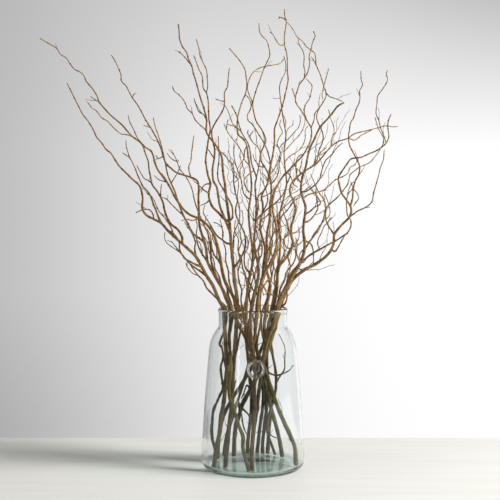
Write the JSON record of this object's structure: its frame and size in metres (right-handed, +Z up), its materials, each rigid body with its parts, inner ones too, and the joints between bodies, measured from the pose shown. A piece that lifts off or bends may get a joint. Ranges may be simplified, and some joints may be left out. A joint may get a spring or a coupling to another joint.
{
  "type": "willow stems",
  "caption": "Tall bunch of curly bare willow stems with fanned-out side twigs, standing crossed in a round recycled-glass vase with a straight neck and a pressed seal.",
  "frame": {"origin": "centre of the vase's flat underside", "axes": "+Z up along the stems; -Y is the front, where the vase's pressed seal is; +X is to the right seen from the front"},
  "size_m": [0.8928, 0.5206, 1.0986],
  "materials": {
    "glass": "clear gloss with a faint green tint",
    "bark": "smooth satin bark, olive on the thick stems and reddish brown on the thin twigs"
  },
  "bodies": {
    "root": {"glass_vase": "glass", "stem_01": "bark", "stem_02": "bark", "stem_03": "bark", "stem_04": "bark", "stem_05": "bark", "stem_06": "bark", "stem_07": "bark", "stem_08": "bark", "stem_09": "bark", "stem_10": "bark", "stem_11": "bark", "stem_12": "bark", "stem_13": "bark", "stem_14": "bark", "stem_15": "bark", "stem_16": "bark"}
  },
  "joints": []
}
